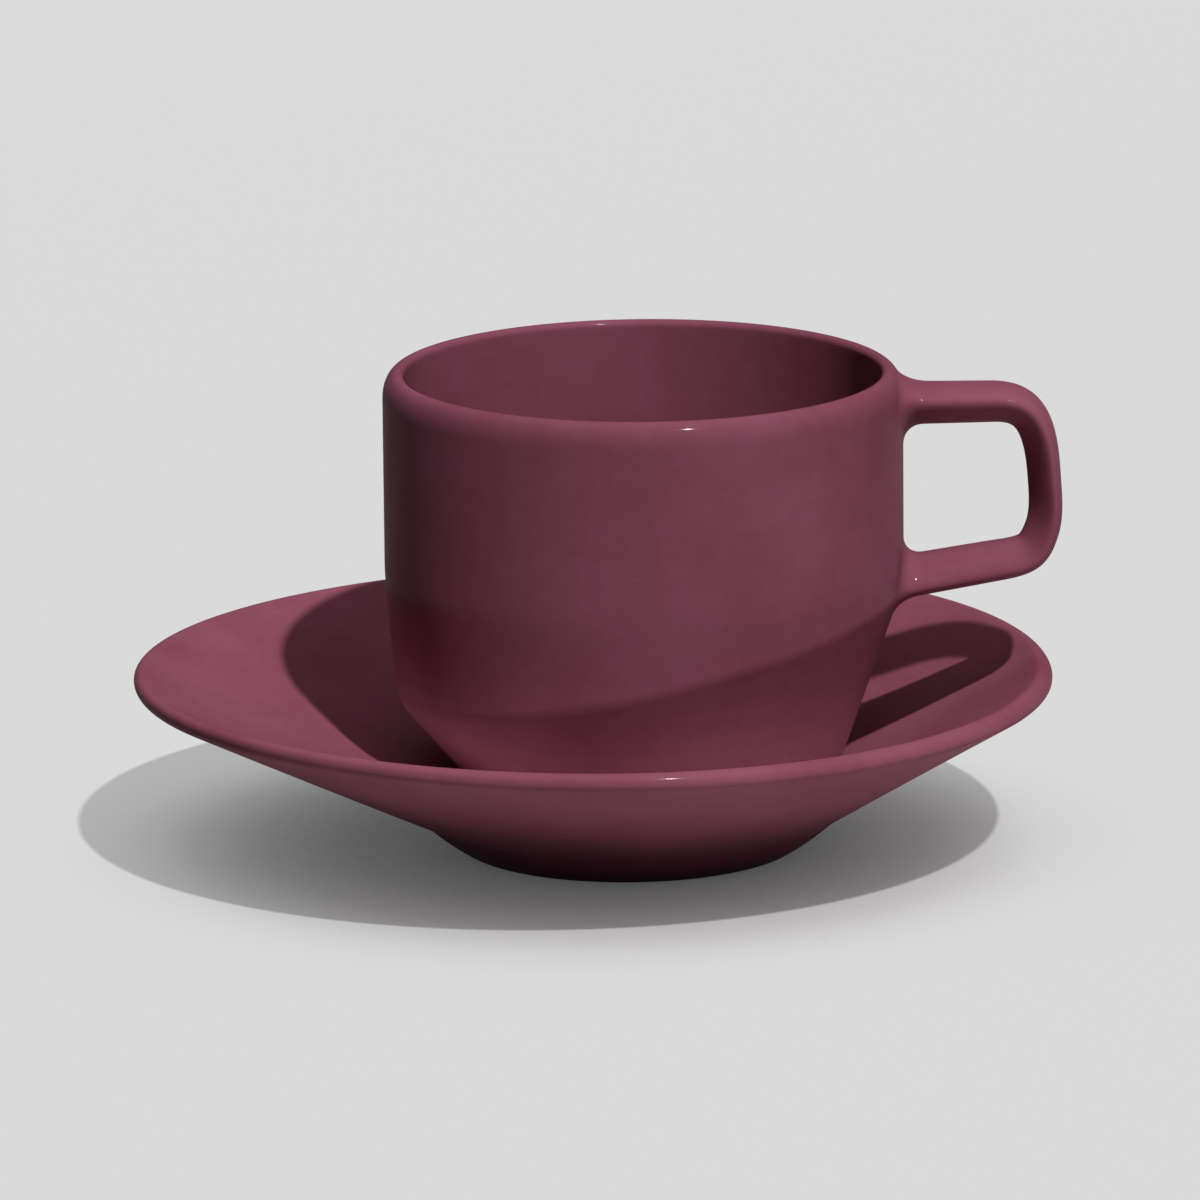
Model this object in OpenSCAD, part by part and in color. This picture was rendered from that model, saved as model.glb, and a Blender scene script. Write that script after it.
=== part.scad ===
// Cup with a squared loop handle, standing in the well of a wide leaning saucer.
// Millimetres, +Z up, +X towards the handle. The origin is the centre of the saucer's
// foot, on the table. Saucer and cup are both cones whose round sections slide to the
// left as they rise, so the right flank is steep and the left one runs out wide.

/* [Saucer] */
// Outer diameter of the saucer's rim
saucer_d = 152; // [142:1:162]
// Height of the rim's top above the table
saucer_h = 30; // [27:0.5:33]
// How far the rim's centre lies to the left of the foot's centre
saucer_lean = 5.8; // [0:0.1:8]
// Thickness of the rim across its rounded top
saucer_rim_w = 3.2; // [2.6:0.1:4]
// Height of the upright band under the rim's rounding
saucer_band_h = 1.3; // [0.8:0.1:2]
// Diameter of the dish where the cone meets the foot's flank
saucer_base_d = 70.6; // [69:0.2:74]
// Height of that junction above the table
saucer_base_h = 5.6; // [5:0.1:6.2]
// How much the rim is warped up at the back right and the front left, and down between
rim_warp = 0.45; // [0:0.05:0.8]
// Thickness of the floor under the well
well_floor_w = 4.4; // [4:0.1:4.7]

/* [Saucer foot] */
// Diameter of the foot where it stands on the table
saucer_foot_d = 56; // [52:0.5:58]
// Height of the foot ring
saucer_foot_h = 3.2; // [2.6:0.1:3.4]
// Width of the foot ring's standing face
saucer_foot_w = 4; // [3:0.1:5]

/* [Cup] */
// Outer diameter of the cup's upright wall
cup_d = 85.8; // [80:0.2:90]
// Height of the cup from its foot to its rim
cup_h = 72.4; // [68:0.2:78]
// Thickness of the wall
cup_wall = 3.5; // [3:0.1:4]
// How far the cup's axis lies to the right of the saucer's foot
cup_shift = 2.8; // [2:0.1:4]
// Height of the slanted shoulder above the cup's foot, at the cup's axis
shoulder_h = 26.9; // [24:0.1:29]
// Rise of the shoulder from the cup's axis out to the handle side
shoulder_rise = 9.15; // [5:0.05:10]
// How much the wall draws in towards the lowest point of the shoulder
cup_tuck = 1.9; // [0.5:0.1:2.4]
// Height above the cup's foot where the wall starts to draw in
cup_tuck_h = 40; // [37:0.5:44]
// Radius that rounds the shoulder
shoulder_r = 6; // [4:0.5:8]
// Thickness of the floor, counted from the top of the foot ring
cup_floor_w = 4.5; // [3.5:0.1:5.5]

/* [Cup foot] */
// Diameter of the lower wall where it turns under to the foot
cup_base_d = 58.8; // [56:0.2:59]
// How far the base lies to the right of the saucer's foot
cup_base_shift = 4.4; // [3:0.1:4.6]
// Height of the foot ring
cup_foot_h = 1.8; // [1.7:0.1:2]
// Diameter of the foot ring
cup_foot_d = 53; // [50:0.5:54]
// Width of the foot ring's standing face
cup_foot_w = 3; // [2:0.1:4]
// Gap between the foot ring and the wall of the well, all round
well_clearance = 0.8; // [0.5:0.1:1]
// Gap between the lip of the well and the base of the cup's wall above it
lip_clearance = 0.2; // [0.1:0.05:0.3]

/* [Handle] */
// How far the loop reaches out from the cup's wall
handle_reach = 26.4; // [23:0.1:30]
// Thickness of the strap in the two bars
handle_t = 6.55; // [5.6:0.05:7.4]
// Thickness of the strap at the loop's outermost point
handle_side_t = 5.5; // [5:0.1:6.4]
// Width of the strap half way through its thickness
handle_w = 12.4; // [10:0.1:14]
// Height above the cup's foot of the upper bar's middle line
handle_top_h = 66.2; // [64.5:0.1:66.6]
// Rise of the upper bar from the wall out to its corner
handle_top_rise = 0.2; // [0:0.1:0.8]
// Height above the cup's foot of the loop's outermost point
handle_peak_h = 47.7; // [47:0.1:50]
// Height above the cup's foot of the lower outer corner
handle_low_h = 40.8; // [40:0.1:42]
// Height above the cup's foot where the lower bar meets the wall
handle_root_h = 37; // [36:0.1:38.5]
// Length of the upper corner's bend along the bar
top_bend_bar = 7.8; // [6:0.1:10]
// Length of the upper corner's bend down the side
top_bend_side = 11.8; // [8:0.1:13]
// Length of the lower corner's bend up the side
low_bend_side = 4.7; // [4:0.1:5.4]
// Length of the lower corner's bend along the bar
low_bend_bar = 6.2; // [5:0.1:9]
// Fillet of the strap's outer face onto the wall
root_outer_r = 5; // [3:0.1:5]
// Fillet under the lower bar, where the wall already leans away
root_under_r = 2.2; // [1.6:0.1:3.4]
// Fillet of the strap's inner face and edges onto the wall
root_inner_r = 3.4; // [1.6:0.1:3.6]

/* [Hidden] */

glaze = [0.42, 0.2, 0.28];
foot_glaze = [0.34, 0.15, 0.22];

// Number of flats round the turned shapes and round the strap's section
round_n = 92;
strap_n = 24;
arc_n = 6;

// Small roundings of the fired edges
edge_r = 0.8;
corner_r = 0.4;

// Heights of the seat and of the cup's foot above the table
well_h = saucer_foot_h + well_floor_w;
cup_base_h = well_h + cup_foot_h;

// Saucer: the round sections slide to the left by this much for each unit of height
rim_tube_r = saucer_rim_w / 2;
rim_tube_h = saucer_h - rim_tube_r;
rim_tube_ring_r = saucer_d / 2 - rim_tube_r;
rim_low_h = rim_tube_h - saucer_band_h;
saucer_slide = saucer_lean / (rim_tube_h - saucer_base_h);

// Foot flank of the saucer: a shallow bulge from the standing edge to the junction
flank_bulge = 0.45;

// Well: a round recess that takes the cup's foot
well_r = cup_foot_d / 2 + well_clearance;
well_lip_w = 1.9;
well_edge_r = well_r + well_lip_w;
well_edge_h = cup_base_h - lip_clearance;
well_lip_h = well_edge_h - corner_r;

// Cup rim: a tall soft rounding outside and a tight one inside
rim_out_h = 4.2;
rim_out_share = 0.7;
rim_out_w = cup_wall * rim_out_share;
rim_in_r = cup_wall - rim_out_w;

// Cup inside: the cavity's floor and the rounding round it
cavity_floor_h = cup_base_h + cup_floor_w;
cavity_base_r = cup_base_d / 2 - cup_wall;
cavity_round_r = 6;
cavity_side_share = 0.7;
tuck_bend = 1.3;
tuck_low_h = shoulder_h - shoulder_rise;

// Handle: the strap is buried this deep in the wall before the wall is cut away
root_bury = 1.5;
wall_x = cup_shift + cup_d / 2;
peak_x = wall_x + handle_reach - handle_side_t / 2;
loop_top_lag_share = 0.048;
loop_low_lag_share = 0.084;

// How close each cubic bend draws to its corner
top_full_share = 0.75;
low_full_share = 0.86;
peak_full_share = 0.67;

// The shallow bend at the outermost point takes what the two corners leave of the side
top_side_share = 0.8;
low_side_share = 0.75;
peak_top_share = 0.6;
peak_low_share = 0.95;

// Strap's section: a rounded oblong, wider on the loop's outer face than on its inner one
strap_power = 2.3;
strap_taper_share = 0.18;

// The root fillets swell the strap over this length from each end
root_len = root_bury + root_outer_r;
root_n = 7;

// Sum of a list's items up to the given index
function total(list, last) = last < 0 ? 0 : list[last] + total(list, last - 1);

// Quarter or part arc about a centre, as [radius, height] pairs
function arc(centre, size, from_a, to_a, n = arc_n) =
    [for (i = [0:n]) let (a = from_a + (to_a - from_a) * i / n)
        [centre[0] + size[0] * cos(a), centre[1] + size[1] * sin(a)]];

// Closed skin over a stack of rings, each ring a list of points, first and last capped flat
module skin(rings) {
    n = len(rings[0]);
    m = len(rings);
    sides = [for (i = [0:m - 2], j = [0:n - 1], half = [0, 1])
        let (a = i * n + j, b = i * n + (j + 1) % n)
        half == 0 ? [a, b + n, b] : [a, a + n, b + n]];
    first = [for (j = [0:n - 1]) j];
    last = [for (j = [n - 1:-1:0]) (m - 1) * n + j];
    polyhedron(points = [for (ring = rings) each ring], faces = concat([first], sides, [last]));
}

// Saucer: centre of the round section at a height, and one ring of it
function saucer_x(h) = -saucer_slide * max(h - saucer_base_h, 0);

// Share of the rim's warp that reaches a ring of radius r, none of it inside the base
function warp_share(r) = pow(max(2 * r - saucer_base_d, 0) / (saucer_d - saucer_base_d), 2);

function saucer_ring(r, h, x) = let (rise = rim_warp * warp_share(r))
    [for (j = [0:round_n - 1]) let (a = 360 * j / round_n)
        [x + r * cos(a), r * sin(a), h + rise * sin(2 * a)]];

// Radius of the saucer's foot flank at a height
function flank_r(h) = let (t = h / saucer_base_h)
    saucer_foot_d / 2 + (saucer_base_d - saucer_foot_d) / 2 * t + 4 * flank_bulge * t * (1 - t);

// Angle at which the dish's upper face meets the rim's rounding
dish_run = rim_tube_ring_r - well_edge_r;
dish_a = atan((rim_tube_h - well_edge_h) / dish_run);

// Cup: distance from the cup's axis to its upright wall at a height over the cup's foot
function wall_r(h) = let (t = max(cup_tuck_h - h, 0) / (cup_tuck_h - tuck_low_h))
    cup_d / 2 - cup_tuck * pow(t, tuck_bend);

// Cup: height of the shoulder over the cup's foot, in the direction a
function shoulder_at(a) = shoulder_h + shoulder_rise * cos(a);

// Distance from the cup's axis to a circle of radius r whose centre is off to the right
function off_circle_r(r, a) = let (d = cup_base_shift - cup_shift)
    d * cos(a) + sqrt(r * r - pow(d * sin(a), 2));

// Cup: outer outline in the direction a, from the base up, as [radius, height over foot];
// the lower wall runs straight from the round base to the shoulder and is rounded there
function cup_outline(a, base_r, base_h, inset, round_r) =
    let (s_h = shoulder_at(a), s_r = wall_r(s_h) - inset, b_r = off_circle_r(base_r, a),
         lean = atan((s_r - b_r) / (s_h - base_h)),
         tuck = atan((wall_r(s_h + edge_r) - wall_r(s_h)) / edge_r),
         turn = lean - tuck, t = round_r * tan(turn / 2),
         c = [s_r + t * sin(tuck) - round_r * cos(tuck), s_h + t * cos(tuck) + round_r * sin(tuck)])
    [for (i = [0:arc_n]) let (w = -lean + turn * i / arc_n)
        [c[0] + round_r * cos(w), c[1] + round_r * sin(w)]];

function cup_point(a, p) = [cup_shift + p[0] * cos(a), p[0] * sin(a), well_h + p[1]];

// One ring of the cup: the same outline point in every direction
function cup_ring(k, lines) =
    [for (j = [0:round_n - 1]) cup_point(360 * j / round_n, lines[j][k])];

// Heights over the foot of the rings between the shoulder and the top of the draw-in
function wall_steps(from_h, inset) =
    [for (i = [1:arc_n]) let (h = from_h + (cup_tuck_h + shoulder_r - from_h) * i / arc_n)
        [wall_r(h) - inset, h]];

rim_c_h = cup_h - rim_out_h;
rim_outer_line = arc([cup_d / 2 - rim_out_w, rim_c_h], [rim_out_w, rim_out_h], 0, 90, arc_n + 2);
rim_inner_line = arc([cup_d / 2 - rim_out_w, cup_h - rim_in_r], [rim_in_r, rim_in_r], 90, 180);

// Cup: outer line of the wall in the direction a, from the base to the rim's top
function outer_line(a) =
    let (low = cup_outline(a, cup_base_d / 2, cup_foot_h, 0, shoulder_r))
    concat(
        [for (w = [-90, -60, -30]) [off_circle_r(cup_base_d / 2 - edge_r + edge_r * cos(w), a),
            cup_foot_h + edge_r + edge_r * sin(w)]],
        low, wall_steps(low[arc_n][1], 0), rim_outer_line);

// Cup: inner line in the direction a, from the rim's inner edge down to the cavity's floor
function inner_line(a) =
    let (low = cup_outline(a, cavity_base_r, cup_foot_h, cup_wall, shoulder_r),
         s = [low[0][0], low[0][1]],
         floor_r = off_circle_r(cavity_base_r - cavity_round_r, a),
         knee = [off_circle_r(cavity_base_r + cavity_round_r / 2, a), cavity_floor_h - well_h])
    concat(
        [for (i = [arc_n - 1:-1:0]) wall_steps(low[arc_n][1], cup_wall)[i]],
        [for (i = [arc_n:-1:0]) low[i]],
        [for (i = [1:arc_n]) let (t = i / arc_n, side = s + (knee - s) * cavity_side_share)
            (1 - t) * (1 - t) * side + 2 * t * (1 - t) * knee + t * t * [floor_r, knee[1]]]);

outer_lines = [for (j = [0:round_n - 1]) outer_line(360 * j / round_n)];
shell_lines = [for (j = [0:round_n - 1]) let (a = 360 * j / round_n)
    concat(outer_lines[j], [for (i = [1:arc_n]) rim_inner_line[i]], inner_line(a))];

module saucer_dish() {
    // Under the dish: flank, cone, then the rim's lower corner and upright band
    base = [for (i = [0:3]) let (h = saucer_foot_h + (saucer_base_h - saucer_foot_h) * i / 3)
        saucer_ring(flank_r(h), h, 0)];
    cone = [for (i = [1:3]) let (t = i / 4, r = saucer_base_d / 2 * (1 - t) + (saucer_d / 2 - corner_r) * t,
            h = saucer_base_h * (1 - t) + rim_low_h * t)
        saucer_ring(r, h, saucer_x(h))];
    low_corner = arc([saucer_d / 2 - corner_r, rim_low_h + corner_r], [corner_r, corner_r], -60, 0, 3);
    top = arc([rim_tube_ring_r, rim_tube_h], [rim_tube_r, rim_tube_r], 0, 90 + dish_a, 10);
    rim = [for (p = concat(low_corner, top)) saucer_ring(p[0], p[1], saucer_x(p[1]))];
    // The dish's upper face, from the rim's rounding in to the lip of the well
    face_top = top[len(top) - 1];
    face = [for (i = [1:3]) let (t = i / 4)
        saucer_ring(face_top[0] * (1 - t) + well_edge_r * t, face_top[1] * (1 - t) + well_lip_h * t,
            saucer_x(face_top[1]) * (1 - t) + cup_base_shift * t)];
    lip = [for (p = arc([well_edge_r, well_lip_h], [well_edge_r - well_r, corner_r], 90, 180))
        saucer_ring(p[0], p[1], cup_base_shift)];
    seat = [for (p = arc([well_r - edge_r, well_h + edge_r], [edge_r, edge_r], 0, -90))
        saucer_ring(p[0], p[1], cup_base_shift)];
    color(glaze) skin(concat(base, cone, rim, face, lip, seat));
}

module saucer_foot_ring() {
    outer_r = saucer_foot_d / 2;
    inner_r = outer_r - saucer_foot_w;
    flank = [for (i = [1:5]) let (h = corner_r + (saucer_foot_h - corner_r) * i / 5) [flank_r(h), h]];
    color(foot_glaze) rotate_extrude($fn = round_n) polygon(concat(
        [[inner_r + corner_r, 0], [outer_r - corner_r, 0]],
        flank,
        [[inner_r - corner_r, saucer_foot_h], [inner_r, corner_r]]));
}

module cup_body() {
    color(glaze) skin([for (k = [0:len(shell_lines[0]) - 1]) cup_ring(k, shell_lines)]);
}

// The cup as a solid plug, which the handle's ends are cut to
module cup_plug() {
    skin([for (k = [0:len(outer_lines[0]) - 1]) cup_ring(k, outer_lines)]);
}

module cup_foot_ring() {
    outer_r = cup_foot_d / 2;
    inner_r = outer_r - cup_foot_w;
    color(foot_glaze) translate([cup_base_shift, 0, well_h]) rotate_extrude($fn = round_n) polygon([
        [inner_r + corner_r, 0], [outer_r - corner_r, 0], [outer_r, corner_r],
        [outer_r + corner_r, cup_foot_h], [inner_r - corner_r, cup_foot_h], [inner_r, corner_r]]);
}

// Middle line of the strap: corners as [x, height over the cup's foot]
top_root = [wall_x - root_bury, handle_top_h];
top_corner = [peak_x - handle_reach * loop_top_lag_share, handle_top_h + handle_top_rise];
peak = [peak_x, handle_peak_h];
low_corner = [peak_x - handle_reach * loop_low_lag_share, handle_low_h];
low_root = [wall_x - root_bury, handle_root_h];

function unit(v) = v / norm(v);

// Cubic bend round the corner p: it leaves the leg before and joins the leg after at the
// given lengths from p, and a larger full share draws it closer to p
function bend(p, before, after, len_before, len_after, full_share, n) =
    let (p0 = p + unit(before - p) * len_before, p3 = p + unit(after - p) * len_after,
         p1 = p0 + (p - p0) * full_share, p2 = p3 + (p - p3) * full_share)
    [for (i = [0:n]) let (t = i / n, s = 1 - t)
        s * s * s * p0 + 3 * s * s * t * p1 + 3 * s * t * t * p2 + t * t * t * p3];

// Lengths of side that the corners and the bend at the outermost point take
top_side = min(top_bend_side, norm(peak - top_corner) * top_side_share);
low_side = min(low_bend_side, norm(peak - low_corner) * low_side_share);
peak_top = (norm(peak - top_corner) - top_side) * peak_top_share;
peak_low = min(norm(peak - top_corner) - top_side, norm(peak - low_corner) - low_side) * peak_low_share;

function root_points(end_p, next_p) =
    [for (i = [0:root_n]) end_p + unit(next_p - end_p) * root_len * i / root_n];

function loop_line() =
    let (finish = root_points(low_root, low_corner))
    concat(
        root_points(top_root, top_corner),
        bend(top_corner, top_root, peak, top_bend_bar, top_side, top_full_share, 10),
        bend(peak, top_corner, low_corner, peak_top, peak_low, peak_full_share, 4),
        bend(low_corner, peak, low_root, low_side, low_bend_bar, low_full_share, 10),
        [for (i = [root_n:-1:0]) finish[i]]);

// Swelling of a fillet of radius r at a distance from the wall
function swell(r, d) = d >= r ? 0 : r - sqrt(r * r - pow(r - max(d, r / 8), 2));

module cup_handle() {
    line = loop_line();
    last = len(line) - 1;
    steps = [for (i = [0:last - 1]) norm(line[i + 1] - line[i])];
    loop_len = total(steps, last - 1);
    rings = [for (i = [0:last])
        let (p = line[i],
             tangent = unit(line[min(i + 1, last)] - line[max(i - 1, 0)]),
             outward = [-tangent[1], tangent[0]],
             run = total(steps, i - 1),
             from_wall = min(run, loop_len - run) - root_bury,
             out_s = swell(run < loop_len / 2 ? root_outer_r : root_under_r, from_wall),
             in_s = swell(root_inner_r, from_wall),
             c = p + outward * (out_s - in_s) / 2,
             bar_t = handle_t + (handle_side_t - handle_t) * pow(sin(180 * run / loop_len), 4),
             half_t = (bar_t + out_s + in_s) / 2,
             half_w = handle_w / 2 + in_s)
        [for (j = [0:strap_n - 1])
            let (a = 360 * j / strap_n,
                 u = sign(sin(a)) * pow(abs(sin(a)), 2 / strap_power),
                 v = sign(cos(a)) * pow(abs(cos(a)), 2 / strap_power) * (1 + strap_taper_share * u))
            [c[0] + outward[0] * half_t * u, half_w * v, well_h + c[1] + outward[1] * half_t * u]]];
    color(glaze) difference() {
        skin(rings);
        cup_plug();
    }
}

saucer_dish();
saucer_foot_ring();
cup_body();
cup_foot_ring();
cup_handle();
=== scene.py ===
# %% [markdown]
# # A plum cup on its saucer
# One cup, upright above a slanted shoulder and tapered below it, stands in the well of a wide
# saucer. Both are glazed in the same plum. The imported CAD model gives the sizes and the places,
# and this lesson dresses it: each pot is worked out again as one fine smooth surface, because a
# glossy glaze would show the flat faces of the CAD mesh as facets.

import math

import bpy
import numpy as np
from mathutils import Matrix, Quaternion, Vector


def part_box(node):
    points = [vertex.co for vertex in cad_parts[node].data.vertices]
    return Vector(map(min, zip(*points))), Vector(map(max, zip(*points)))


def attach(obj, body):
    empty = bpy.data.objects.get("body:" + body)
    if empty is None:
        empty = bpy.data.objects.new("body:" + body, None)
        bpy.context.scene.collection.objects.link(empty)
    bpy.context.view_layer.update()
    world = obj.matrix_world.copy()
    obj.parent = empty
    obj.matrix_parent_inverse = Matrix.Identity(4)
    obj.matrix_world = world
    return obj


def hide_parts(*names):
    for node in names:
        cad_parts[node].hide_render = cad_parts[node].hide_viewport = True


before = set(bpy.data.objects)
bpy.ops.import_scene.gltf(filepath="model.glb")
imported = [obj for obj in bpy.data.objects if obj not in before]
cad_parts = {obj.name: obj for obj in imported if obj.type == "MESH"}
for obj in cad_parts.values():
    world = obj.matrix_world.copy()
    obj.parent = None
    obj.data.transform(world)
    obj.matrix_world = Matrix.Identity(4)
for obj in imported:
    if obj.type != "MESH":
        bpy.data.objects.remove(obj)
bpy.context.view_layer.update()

# %% [markdown]
# ## A skin over rings
# A potter's shape is a stack of rings. Each ring holds the same number of points, so a grid of
# quads joins every ring to the next one. The ends either close on a point each, or meet, as on a
# foot ring. Blender's Screw modifier could turn a profile, but these rings slide, warp and lean,
# so all points are computed as whole arrays instead.

# %% Make a closed mesh from a stack of rings
MM = 0.001
SHARP_FROM = math.radians(40)


def closed_skin(name, rings, poles=None):
    """Object from rings[i, j], point j of ring i in millimetres. With two poles a fan of
    triangles closes each end, and without them the last ring joins the first. The volume is the
    sum of triangle corner products over six. Below zero the skin is inside out and is turned."""
    rows, cols = rings.shape[:2]
    points = rings.reshape(-1, 3)
    index = np.arange(rows * cols).reshape(rows, cols)
    below, above = (index[:-1], index[1:]) if poles else (index, np.roll(index, -1, axis=0))
    quads = np.stack([below, np.roll(below, -1, 1), np.roll(above, -1, 1), above], -1).reshape(-1, 4)
    fans = np.zeros((0, 3), int)
    if poles:
        points = np.concatenate([points, poles])
        first, last = np.roll(index[0], -1), np.roll(index[-1], -1)
        tips = np.full((2, cols), [[rows * cols], [rows * cols + 1]])
        fans = np.concatenate([np.stack([tips[0], first, index[0]], -1),
                               np.stack([tips[1], index[-1], last], -1)])
    triangles = np.concatenate([quads[:, [0, 1, 2]], quads[:, [0, 2, 3]], fans])
    a, b, c = points[triangles].transpose(1, 0, 2)
    volume = np.einsum("ij,ij->", a, np.cross(b, c)) / 6
    turn = slice(None, None, -1 if volume < 0 else 1)
    mesh = bpy.data.meshes.new(name)
    mesh.from_pydata((points * MM).tolist(), [], quads[:, turn].tolist() + fans[:, turn].tolist())
    mesh.shade_smooth()
    mesh.set_sharp_from_angle(angle=SHARP_FROM)
    made = bpy.data.objects.new(name, mesh)
    bpy.context.scene.collection.objects.link(made)
    print(f"{name}: {len(triangles)} triangles, {abs(volume) / 1000:.1f} ml")
    return made


# %% Lines, arcs and soft corners of a profile
def run(start, end, steps):
    """Points on the straight line from start to end, the end itself left out."""
    share = np.linspace(0, 1, steps, endpoint=False)[:, None]
    return np.array(start) + (np.array(end) - np.array(start)) * share


def arc(centre, size, start, end, steps):
    """Points at centre plus size times cosine and sine, from one angle in degrees to another."""
    turn = np.radians(np.linspace(start, end, steps + 1))
    return np.stack([centre[0] + size[0] * np.cos(turn), centre[1] + size[1] * np.sin(turn)], -1)


def soft(before, corner, after, reach, steps):
    """A quadratic bend that leaves one leg and joins the next at the given reach from the corner."""
    before, corner, after = map(np.array, (before, corner, after))
    u, v = before - corner, after - corner
    p0, p2 = corner + u / np.linalg.norm(u) * reach, corner + v / np.linalg.norm(v) * reach
    t = np.linspace(0, 1, steps + 1)[:, None]
    return (1 - t) ** 2 * p0 + 2 * t * (1 - t) * corner + t**2 * p2


AROUND = 320
angle = np.linspace(0, 2 * np.pi, AROUND, endpoint=False)
print("points round each pot:", AROUND)

# %% [markdown]
# ## The saucer
# The saucer is a shallow cone on a low foot. Its round sections slide to the left as they rise,
# which makes a steep short flank on the right and a long wide one on the left. Firing warped the
# rim a little into a saddle. Rows of radius, height and sideways shift describe all of it. The
# rim's top is round, with half of RIM_W as its radius, and its lower edge is rolled into the cone
# with the radius ROLL_R.

# %% Sizes of the saucer
SAUCER_D, SAUCER_H, SAUCER_LEAN = 152, 30, 5.8
RIM_W, ROLL_R, RIM_WARP = 3.2, 1.3, 0.45
ROLL_FROM = -62
BASE_D, BASE_H, BASE_BEND, FLANK_BULGE = 70.6, 5.6, 1.1, 1.8
FOOT_D, FOOT_H, FOOT_W = 56, 3.2, 4
WELL_H, WELL_R, LIP_R, LIP_H = 7.6, 27.3, 29.2, 9.2
LIP_ROUND_H, SEAT_R, MIDDLE_R = 0.4, 0.8, 0.2
CUP_BASE_X = 4.4
tube_r = RIM_W / 2
tube_h = SAUCER_H - tube_r
tube_ring_r = SAUCER_D / 2 - tube_r
slide = SAUCER_LEAN / (tube_h - BASE_H)
print(f"the saucer's sections slide {slide:.3f} mm to the left for each mm of height")


def saucer_rings(profile):
    """Rings for rows of radius, height and shift. The warp lifts a ring by the sine of twice the
    angle, growing from nothing at the base with the square of the distance out to the rim."""
    r, h, x = profile.T[:, :, None]
    out = np.maximum(2 * r - BASE_D, 0) / (SAUCER_D - BASE_D)
    z = h + RIM_WARP * out**2 * np.sin(2 * angle)
    return np.stack([x + r * np.cos(angle), r * np.sin(angle), z], -1)


def flank_r(h):
    """Radius of the foot's flank: a straight line from foot to base plus a shallow bulge."""
    t = h / BASE_H
    return FOOT_D / 2 + (BASE_D - FOOT_D) / 2 * t + FLANK_BULGE * t * (1 - t)


def outside(rh):
    """Rows of radius and height, with the shift of the saucer's outside at that height added."""
    return np.column_stack([rh, -slide * np.maximum(rh[:, 1] - BASE_H, 0)])


# %% Build the saucer's dish
h_flank = np.linspace(FOOT_H, BASE_H, 26)
flank = np.column_stack([flank_r(h_flank), h_flank])
low_corner = arc((SAUCER_D / 2 - ROLL_R, tube_h), (ROLL_R, ROLL_R), ROLL_FROM, 0, 14)
bend = soft(flank[-8], flank[-1], low_corner[0], BASE_BEND, 12)
tilt = math.degrees(math.atan((tube_h - LIP_H) / (tube_ring_r - LIP_R)))
rounding = arc((tube_ring_r, tube_h), (tube_r, tube_r), 0, 90 + tilt, 28)
outer = outside(np.concatenate([
    run((MIDDLE_R, FOOT_H), flank[0], 14), flank[flank[:, 1] < bend[0, 1]], bend,
    run(bend[-1], low_corner[0], 36)[1:], low_corner, rounding]))
lip = arc((LIP_R, LIP_H - LIP_ROUND_H), (LIP_R - WELL_R, LIP_ROUND_H), 90, 180, 10)
seat = arc((WELL_R - SEAT_R, WELL_H + SEAT_R), (SEAT_R, SEAT_R), 0, -90, 8)
well = np.concatenate([lip, seat, run(seat[-1], (MIDDLE_R, WELL_H), 12)[1:]])
inner = np.concatenate([run(outer[-1], (LIP_R, LIP_H, CUP_BASE_X), 40)[1:],
                        np.column_stack([well, np.full(len(well), CUP_BASE_X)])])
saucer = closed_skin("saucer", saucer_rings(np.concatenate([outer, inner])),
                     [(0, 0, FOOT_H), (CUP_BASE_X, 0, WELL_H)])


# %% Build the saucer's foot ring
UNDER_FILLET, INNER_EDGE, OUTER_EDGE, FLANK_START = 0.9, 0.5, 0.45, 0.5


def foot_ring(name, outer_line, inner_r, height, x, z):
    """A turned ring: an outer line from the table up, a flat top, and an inner wall that flares
    into the underside with a fillet and turns onto the standing face with a small rounding."""
    inner_line = np.concatenate([
        soft((0, height), (inner_r, height), (inner_r, 0), UNDER_FILLET, 6),
        soft((inner_r, height), (inner_r, 0), (inner_r + 1, 0), INNER_EDGE, 6)])
    r, h = np.concatenate([inner_line, outer_line]).T[:, :, None]
    rings = np.broadcast_arrays(x + r * np.cos(angle), r * np.sin(angle), z + h)
    return closed_skin(name, np.stack(rings, -1))


h_foot = np.linspace(FLANK_START, FOOT_H, 22)
foot_flank = np.column_stack([flank_r(h_foot), h_foot])
standing = soft((FOOT_D / 2 - 1, 0), (FOOT_D / 2, 0), foot_flank[0], OUTER_EDGE, 6)
saucer_foot = foot_ring("saucer_foot", np.concatenate([standing, foot_flank]),
                        FOOT_D / 2 - FOOT_W, FOOT_H, 0, 0)

# %% [markdown]
# ## The cup
# Above the shoulder the wall is upright and round. The shoulder itself lies in a slanted plane,
# high on the handle's side and low opposite, so it is nearer the foot in some directions than in
# others. In every direction the wall below it runs straight to a round base. The outline is
# therefore worked out for all directions at once: heights and radii are arrays over the angle.

# %% Sizes of the cup, heights counted from its foot
CUP_X, CUP_D, CUP_H, CUP_WALL = 2.8, 85.8, 72.4, 3.5
SHOULDER_H, SHOULDER_RISE, SHOULDER_R = 26.9, 9.15, 6
TUCK, TUCK_H, TUCK_POWER = 1.9, 40, 1.3
CUP_BASE_D, CUP_BASE_ROUND, CUP_FLOOR_W = 58.8, 0.8, 4.5
CUP_FOOT_H, CUP_FOOT_D, CUP_FOOT_W = 1.8, 53, 3
FLOOR_H = CUP_FOOT_H + CUP_FLOOR_W
RIM_OUT_H, RIM_OUT_W = 4.2, 0.7 * CUP_WALL
RIM_IN_R = CUP_WALL - RIM_OUT_W
KNEE_OUT, FLOOR_IN, KNEE_SHARE, INNERMOST = 3, 6, 0.7, 0.02
print(f"inside, the cup is {CUP_D - 2 * CUP_WALL:.1f} mm wide and {CUP_H - FLOOR_H:.1f} mm deep")


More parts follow.
